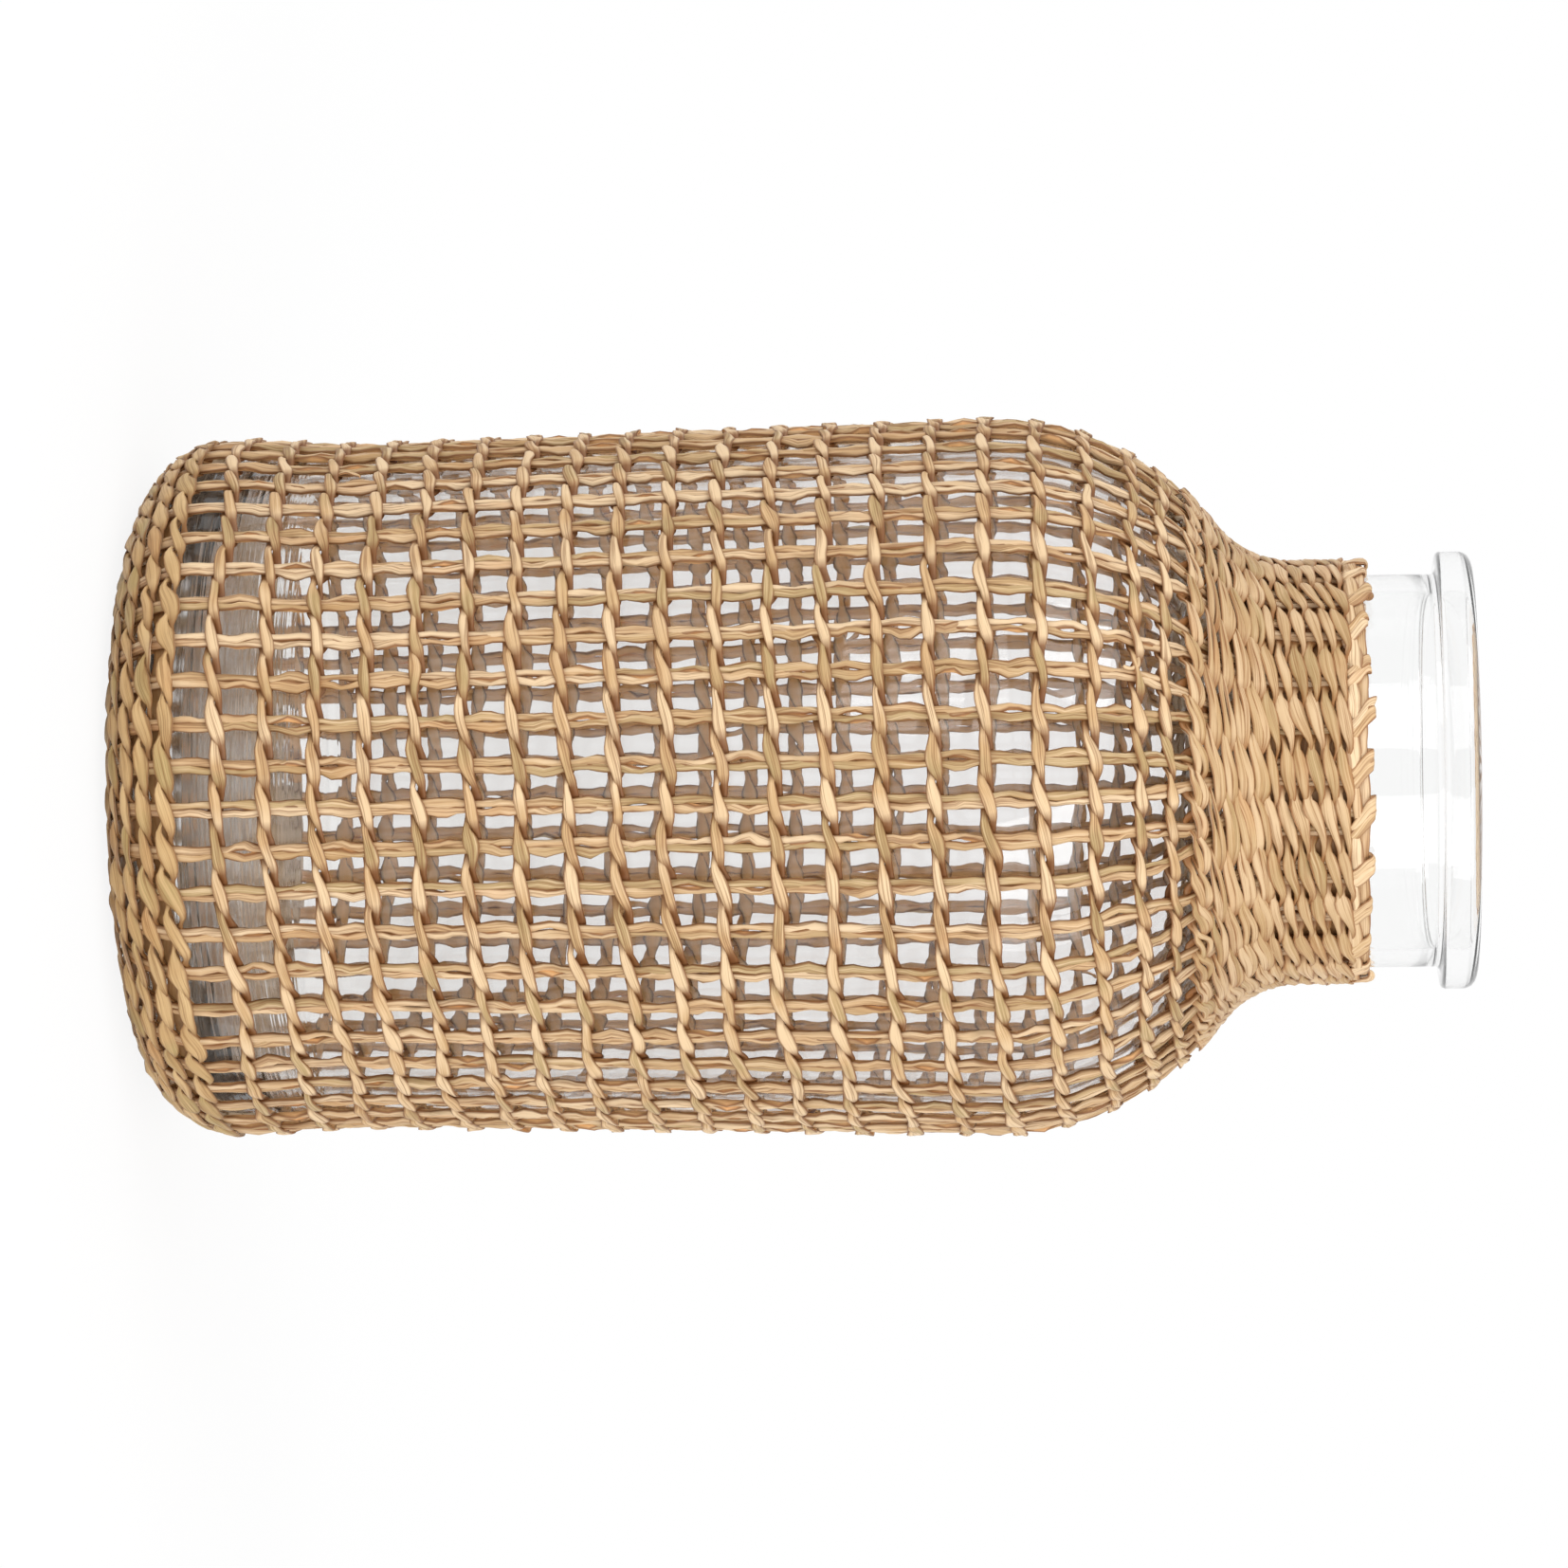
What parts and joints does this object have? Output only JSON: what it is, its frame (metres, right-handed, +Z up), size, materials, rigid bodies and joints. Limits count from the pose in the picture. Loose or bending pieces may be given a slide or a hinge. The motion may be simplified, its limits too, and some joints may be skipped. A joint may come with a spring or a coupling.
{
  "type": "wrapped glass vase",
  "caption": "Clear glass vase with a round shoulder, short neck and rolled lip, held in an open woven sleeve of flat rattan strands that ends in a folded border below the lip.",
  "frame": {"origin": "centre of the flat underside of the woven mat, on the surface the vase stands on", "axes": "+Z up along the vase's axis, -Y towards the viewer of the picture, +X to that viewer's right with the vase upright"},
  "size_m": [0.1628, 0.1639, 0.3],
  "materials": {
    "clear_glass": "clear, smooth, slightly wavy",
    "mat_strands": "matt dried plant strand",
    "base_strands": "matt dried plant strand, a little duller",
    "weft_strands": "matt dried plant strand with fine fibre lines",
    "neck_strands": "matt dried plant strand, a little paler",
    "border_strands": "matt dried plant strand, a little paler",
    "stake_strands": "matt dried plant strand with fine fibre lines"
  },
  "bodies": {
    "root": {"glass_vase": "clear_glass", "base_mat": "mat_strands", "base_band": "base_strands", "weft_row_01": "weft_strands", "weft_row_02": "weft_strands", "weft_row_03": "weft_strands", "weft_row_04": "weft_strands", "weft_row_05": "weft_strands", "weft_row_06": "weft_strands", "weft_row_07": "weft_strands", "weft_row_08": "weft_strands", "weft_row_09": "weft_strands", "weft_row_10": "weft_strands", "weft_row_11": "weft_strands", "weft_row_12": "weft_strands", "weft_row_13": "weft_strands", "weft_row_14": "weft_strands", "weft_row_15": "weft_strands", "weft_row_16": "weft_strands", "weft_row_17": "weft_strands", "weft_row_18": "weft_strands", "weft_row_19": "weft_strands", "weft_row_20": "weft_strands", "neck_band": "neck_strands", "border": "border_strands", "stake_pair_01": "stake_strands", "stake_pair_02": "stake_strands", "stake_pair_03": "stake_strands", "stake_pair_04": "stake_strands", "stake_pair_05": "stake_strands", "stake_pair_06": "stake_strands", "stake_pair_07": "stake_strands", "stake_pair_08": "stake_strands", "stake_pair_09": "stake_strands", "stake_pair_10": "stake_strands", "stake_pair_11": "stake_strands", "stake_pair_12": "stake_strands", "stake_pair_13": "stake_strands", "stake_pair_14": "stake_strands", "stake_pair_15": "stake_strands", "stake_pair_16": "stake_strands", "stake_pair_17": "stake_strands", "stake_pair_18": "stake_strands", "stake_pair_19": "stake_strands", "stake_pair_20": "stake_strands", "stake_pair_21": "stake_strands", "stake_pair_22": "stake_strands", "stake_pair_23": "stake_strands", "stake_pair_24": "stake_strands", "stake_pair_25": "stake_strands", "stake_pair_26": "stake_strands"}
  },
  "joints": []
}
